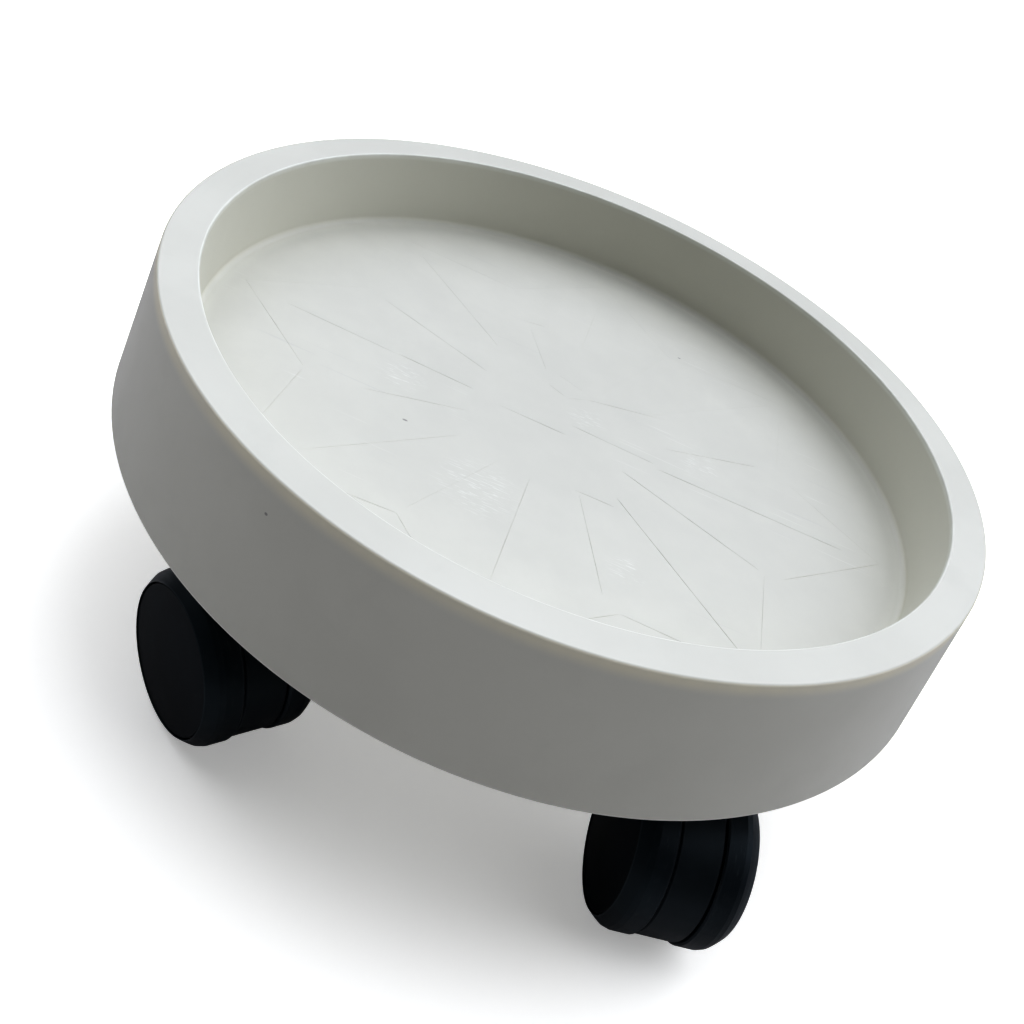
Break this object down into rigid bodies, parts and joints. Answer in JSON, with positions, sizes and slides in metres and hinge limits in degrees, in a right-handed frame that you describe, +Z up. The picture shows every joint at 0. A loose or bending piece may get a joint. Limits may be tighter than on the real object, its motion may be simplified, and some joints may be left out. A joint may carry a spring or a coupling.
{
  "type": "plant pot caddy",
  "caption": "Round moulded tray with a raised wide rim and a deep flared skirt on twin-wheel swivel casters, for standing a potted plant on and rolling it across a floor.",
  "frame": {"origin": "on the ground, under the centre of the tray", "axes": "+Z up, +Y to the rear, +X to the right; the casters stand on the diagonals"},
  "size_m": [0.2706, 0.2706, 0.12],
  "materials": {
    "tray_plastic": "smooth off-white moulded polypropylene with a soft satin sheen",
    "hood_plastic": "black moulded nylon, faint blue-black sheen",
    "wheel_plastic": "black moulded wheel, satin tread with faint turning marks",
    "cap_plastic": "black moulded disc, satin",
    "zinc_steel": "zinc-plated turned steel",
    "spring_steel": "dark spring steel"
  },
  "bodies": {
    "tray_body": {"tray": "tray_plastic", "front_right_stem": "zinc_steel", "front_right_grip_ring": "spring_steel", "front_left_stem": "zinc_steel", "front_left_grip_ring": "spring_steel", "rear_left_stem": "zinc_steel", "rear_left_grip_ring": "spring_steel", "rear_right_stem": "zinc_steel", "rear_right_grip_ring": "spring_steel"},
    "front_right_caster": {"front_right_hood": "hood_plastic", "front_right_retaining_ring": "spring_steel", "front_right_axle": "zinc_steel", "front_right_axle_clips": "spring_steel"},
    "front_right_roller_left": {"front_right_wheel_left": "wheel_plastic", "front_right_hub_cap_left": "cap_plastic"},
    "front_right_roller_right": {"front_right_wheel_right": "wheel_plastic", "front_right_hub_cap_right": "cap_plastic"},
    "front_left_caster": {"front_left_hood": "hood_plastic", "front_left_retaining_ring": "spring_steel", "front_left_axle": "zinc_steel", "front_left_axle_clips": "spring_steel"},
    "front_left_roller_left": {"front_left_wheel_left": "wheel_plastic", "front_left_hub_cap_left": "cap_plastic"},
    "front_left_roller_right": {"front_left_wheel_right": "wheel_plastic", "front_left_hub_cap_right": "cap_plastic"},
    "rear_left_caster": {"rear_left_hood": "hood_plastic", "rear_left_retaining_ring": "spring_steel", "rear_left_axle": "zinc_steel", "rear_left_axle_clips": "spring_steel"},
    "rear_left_roller_left": {"rear_left_wheel_left": "wheel_plastic", "rear_left_hub_cap_left": "cap_plastic"},
    "rear_left_roller_right": {"rear_left_wheel_right": "wheel_plastic", "rear_left_hub_cap_right": "cap_plastic"},
    "rear_right_caster": {"rear_right_hood": "hood_plastic", "rear_right_retaining_ring": "spring_steel", "rear_right_axle": "zinc_steel", "rear_right_axle_clips": "spring_steel"},
    "rear_right_roller_left": {"rear_right_wheel_left": "wheel_plastic", "rear_right_hub_cap_left": "cap_plastic"},
    "rear_right_roller_right": {"rear_right_wheel_right": "wheel_plastic", "rear_right_hub_cap_right": "cap_plastic"}
  },
  "joints": [
    {"name": "front_right_swivel", "type": "hinge", "parent": "tray_body", "child": "front_right_caster", "pos_m": [0.07453, -0.07453, 0.0742], "axis": [0, 0, 1], "continuous": true},
    {"name": "front_right_wheel_left_spin", "type": "hinge", "parent": "front_right_caster", "child": "front_right_roller_left", "pos_m": [0.07682, -0.08631, 0.026], "axis": [0.9816, 0.1908, 0], "continuous": true},
    {"name": "front_right_wheel_right_spin", "type": "hinge", "parent": "front_right_caster", "child": "front_right_roller_right", "pos_m": [0.07682, -0.08631, 0.026], "axis": [0.9816, 0.1908, 0], "continuous": true},
    {"name": "front_left_swivel", "type": "hinge", "parent": "tray_body", "child": "front_left_caster", "pos_m": [-0.07453, -0.07453, 0.0742], "axis": [0, 0, 1], "continuous": true},
    {"name": "front_left_wheel_left_spin", "type": "hinge", "parent": "front_left_caster", "child": "front_left_roller_left", "pos_m": [-0.06561, -0.08256, 0.026], "axis": [0.6691, 0.7431, 0], "continuous": true},
    {"name": "front_left_wheel_right_spin", "type": "hinge", "parent": "front_left_caster", "child": "front_left_roller_right", "pos_m": [-0.06561, -0.08256, 0.026], "axis": [0.6691, 0.7431, 0], "continuous": true},
    {"name": "rear_left_swivel", "type": "hinge", "parent": "tray_body", "child": "rear_left_caster", "pos_m": [-0.07453, 0.07453, 0.0742], "axis": [0, 0, 1], "continuous": true},
    {"name": "rear_left_wheel_left_spin", "type": "hinge", "parent": "rear_left_caster", "child": "rear_left_roller_left", "pos_m": [-0.08627, 0.07702, 0.026], "axis": [-0.2079, -0.9781, 0], "continuous": true},
    {"name": "rear_left_wheel_right_spin", "type": "hinge", "parent": "rear_left_caster", "child": "rear_left_roller_right", "pos_m": [-0.08627, 0.07702, 0.026], "axis": [-0.2079, -0.9781, 0], "continuous": true},
    {"name": "rear_right_swivel", "type": "hinge", "parent": "tray_body", "child": "rear_right_caster", "pos_m": [0.07453, 0.07453, 0.0742], "axis": [0, 0, 1], "continuous": true},
    {"name": "rear_right_wheel_left_spin", "type": "hinge", "parent": "rear_right_caster", "child": "rear_right_roller_left", "pos_m": [0.07327, 0.08646, 0.026], "axis": [-0.9945, -0.1045, 0], "continuous": true},
    {"name": "rear_right_wheel_right_spin", "type": "hinge", "parent": "rear_right_caster", "child": "rear_right_roller_right", "pos_m": [0.07327, 0.08646, 0.026], "axis": [-0.9945, -0.1045, 0], "continuous": true}
  ]
}
